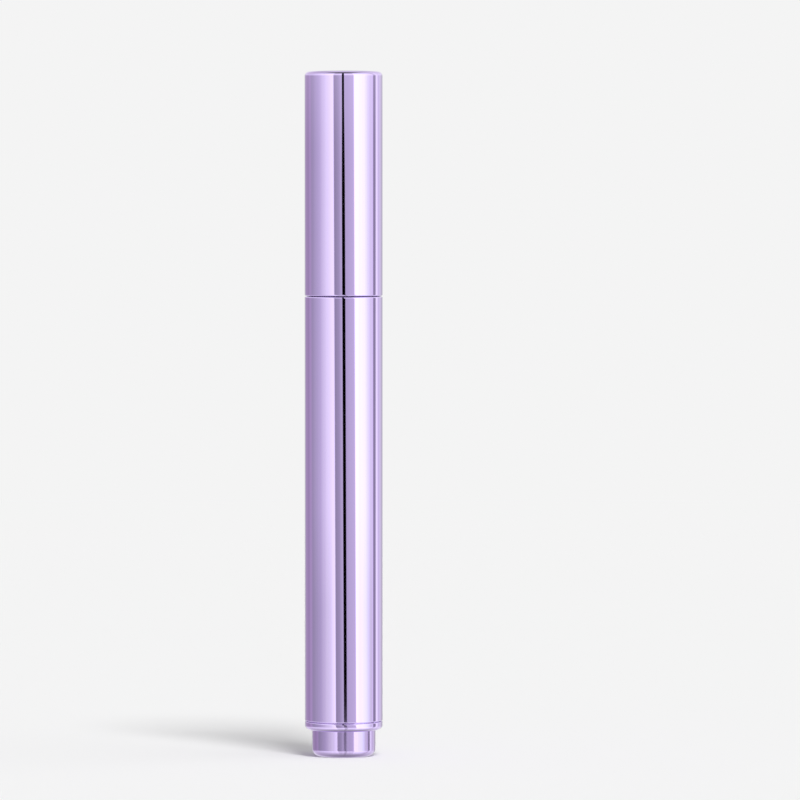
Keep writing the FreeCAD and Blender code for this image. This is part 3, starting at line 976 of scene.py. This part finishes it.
def sinkPits(piece, radius):
    # a few deeper pits on the side, at places drawn with a fixed seed
    look = spongeLook
    chance = random.Random(look["seed"])
    pits = []
    for index in range(look["pitCount"]):
        turn = chance.uniform(-math.pi, math.pi)
        height = chance.uniform(*look["pitHeights"])
        pits.append(Vector((radius * math.cos(turn), radius * math.sin(turn), height)))
    for vertex in piece.data.vertices:
        if vertex.co.to_2d().length < radius - look["skinDepth"]:
            continue
        for pit in pits:
            share = (vertex.co - pit).length / look["pitSize"]
            if share < 1:
                inward = vertex.co.to_2d().normalized() * look["pitDepth"] * (1 - share ** 2)
                vertex.co.x -= inward.x
                vertex.co.y -= inward.y
                break


capShell()
barrelShell()
endRing()
buttonCap()
print("stage: the metal pieces are turned")
neckCollar()
tipRetainer()
spongeTip()
print("stage: the neck and the applicator are made")


# Return spring and feed screw

springLook = {
    "wire": 0.7 * mm,
    "wireRounds": 2,
    "turns": 6.5,
    "closedTurns": 1,            # at each end, where the coils lie on one another
    "closedPitch": 0.72 * mm,
    "stepsPerTurn": 36,
    "crease": 50,
    "pressedShare": 0.852,       # of its length that is left while the button is in
}


def springHeight(turn, low, high):
    # closed coils at both ends and open ones between them
    look = springLook
    fromEnd = min(turn, look["turns"] - turn)
    if fromEnd < look["closedTurns"]:
        rise = fromEnd * look["closedPitch"]
        return low + rise if turn < look["turns"] / 2 else high - rise
    endRise = look["closedTurns"] * look["closedPitch"]
    openTurns = look["turns"] - 2 * look["closedTurns"]
    return low + endRise + (high - low - 2 * endRise) * (turn - look["closedTurns"]) / openTurns


def returnSpring():
    look = springLook
    reach, low, top = nodeReach("return_spring")
    half = look["wire"] / 2
    deselectAll()
    bpy.ops.curve.primitive_nurbs_path_add()
    piece = bpy.context.object
    piece.name = "returnSpring"
    wire = piece.data
    wire.splines.clear()
    wire.bevel_depth = half
    wire.bevel_resolution = look["wireRounds"]
    wire.use_fill_caps = True
    spline = wire.splines.new("POLY")
    spline.points.add(int(look["turns"] * look["stepsPerTurn"]))
    for step, point in enumerate(spline.points):
        turn = step / look["stepsPerTurn"]
        angle = 2 * math.pi * turn
        point.co = ((reach - half) * math.cos(angle), (reach - half) * math.sin(angle),
                    springHeight(turn, low + half, top - half), 1)
    bpy.ops.object.convert(target="MESH")
    piece = bpy.context.object
    piece.data.name = "returnSpring"
    bpy.ops.object.mode_set(mode="EDIT")
    closePiece()
    smoothPiece(piece, look["crease"])
    dressPiece(piece, materials["steel"], "barrel", "return_spring")
    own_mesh(piece)


screwLook = {
    "lead": 3.0 * mm,            # what one turn feeds
    "starts": 2,
    "crest": 1.9 * mm,
    "root": 1.55 * mm,
    "toothShares": [(0, 0), (0.22, 1), (0.48, 1), (0.7, 0)],     # along one tooth, and up its side
    "steps": 40,
    "flat": 1.35 * mm,           # from the axis to each flat
    "crease": 25,                # small enough to keep the flats' edges sharp
    "headHeight": 1.8 * mm,
    "rimHeight": 0.9 * mm,       # of the head, below its sloping top
    "headEdge": 0.15 * mm,
    "headSides": 64,
}


def threadedRod(low, top):
    # the outline of one lead is wound up the axis, then cut to length and given its two flats
    look = screwLook
    pitch = look["lead"] / look["starts"]
    depth = look["crest"] - look["root"]
    start = low - look["lead"]
    outline = [(look["root"] + depth * rise, start + pitch * (index + along))
               for index in range(look["starts"]) for along, rise in look["toothShares"]]
    outline.append((look["root"], start + look["lead"]))
    rod = drawOutline("screwRod", outline)
    bpy.ops.object.mode_set(mode="OBJECT")
    thread = rod.modifiers.new("thread", "SCREW")
    thread.axis = "Z"
    thread.screw_offset = look["lead"]
    thread.iterations = math.ceil((top - low) / look["lead"]) + 1
    thread.steps = look["steps"]
    thread.render_steps = look["steps"]
    bpy.ops.object.modifier_apply(modifier=thread.name)
    bpy.ops.object.mode_set(mode="EDIT")
    closePiece()
    cuts = [((0, 0, low), (0, 0, -1)), ((0, 0, top), (0, 0, 1)),
            ((0, look["flat"], 0), (0, 1, 0)), ((0, -look["flat"], 0), (0, -1, 0))]
    for middle, outwards in cuts:
        bpy.ops.object.mode_set(mode="EDIT")
        bpy.ops.mesh.select_all(action="SELECT")
        bpy.ops.mesh.bisect(plane_co=middle, plane_no=outwards, use_fill=True, clear_outer=True,
                            threshold=weldReach)
        closePiece()
    return rod


def screwRod():
    look = screwLook
    headRadius, low, top = nodeReach("screw_rod")
    headLow = top - look["headHeight"]
    rimTop = headLow + look["rimHeight"]
    rod = threadedRod(low, rimTop)
    edge = look["headEdge"]
    outline = [(0, headLow), (headRadius - edge, headLow), (headRadius, headLow + edge),
               (headRadius, rimTop), (look["crest"], top), (0, top)]
    head = turnPiece("screwHead", outline, look["headSides"])
    pickOnly(rod)
    head.select_set(True)
    bpy.ops.object.join()
    smoothPiece(rod, look["crease"])
    dressPiece(rod, materials["white_plastic"], "screw", "screw_rod")


returnSpring()
screwRod()
print("stage: the spring and the feed screw are wound")


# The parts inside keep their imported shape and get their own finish

insideFinishes = {
    "cap_liner": "liner_plastic",
    "push_driver": "acetal",
    "drive_housing": "white_plastic",
    "rotor": "acetal",
    "ratchet_ring": "acetal",
    "drive_nut": "acetal",
    "plunger_head": "white_plastic",
    "plunger_seal": "seal_rubber",
    "reservoir": "clear_plastic",
    "flow_plug": "natural_plastic",
    "feed_tube": "steel",
    "tip_core": "natural_plastic",
}
for node, finish in insideFinishes.items():
    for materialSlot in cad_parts[node].material_slots:
        materialSlot.material = materials[finish]
print("stage: the inner parts have their finish")
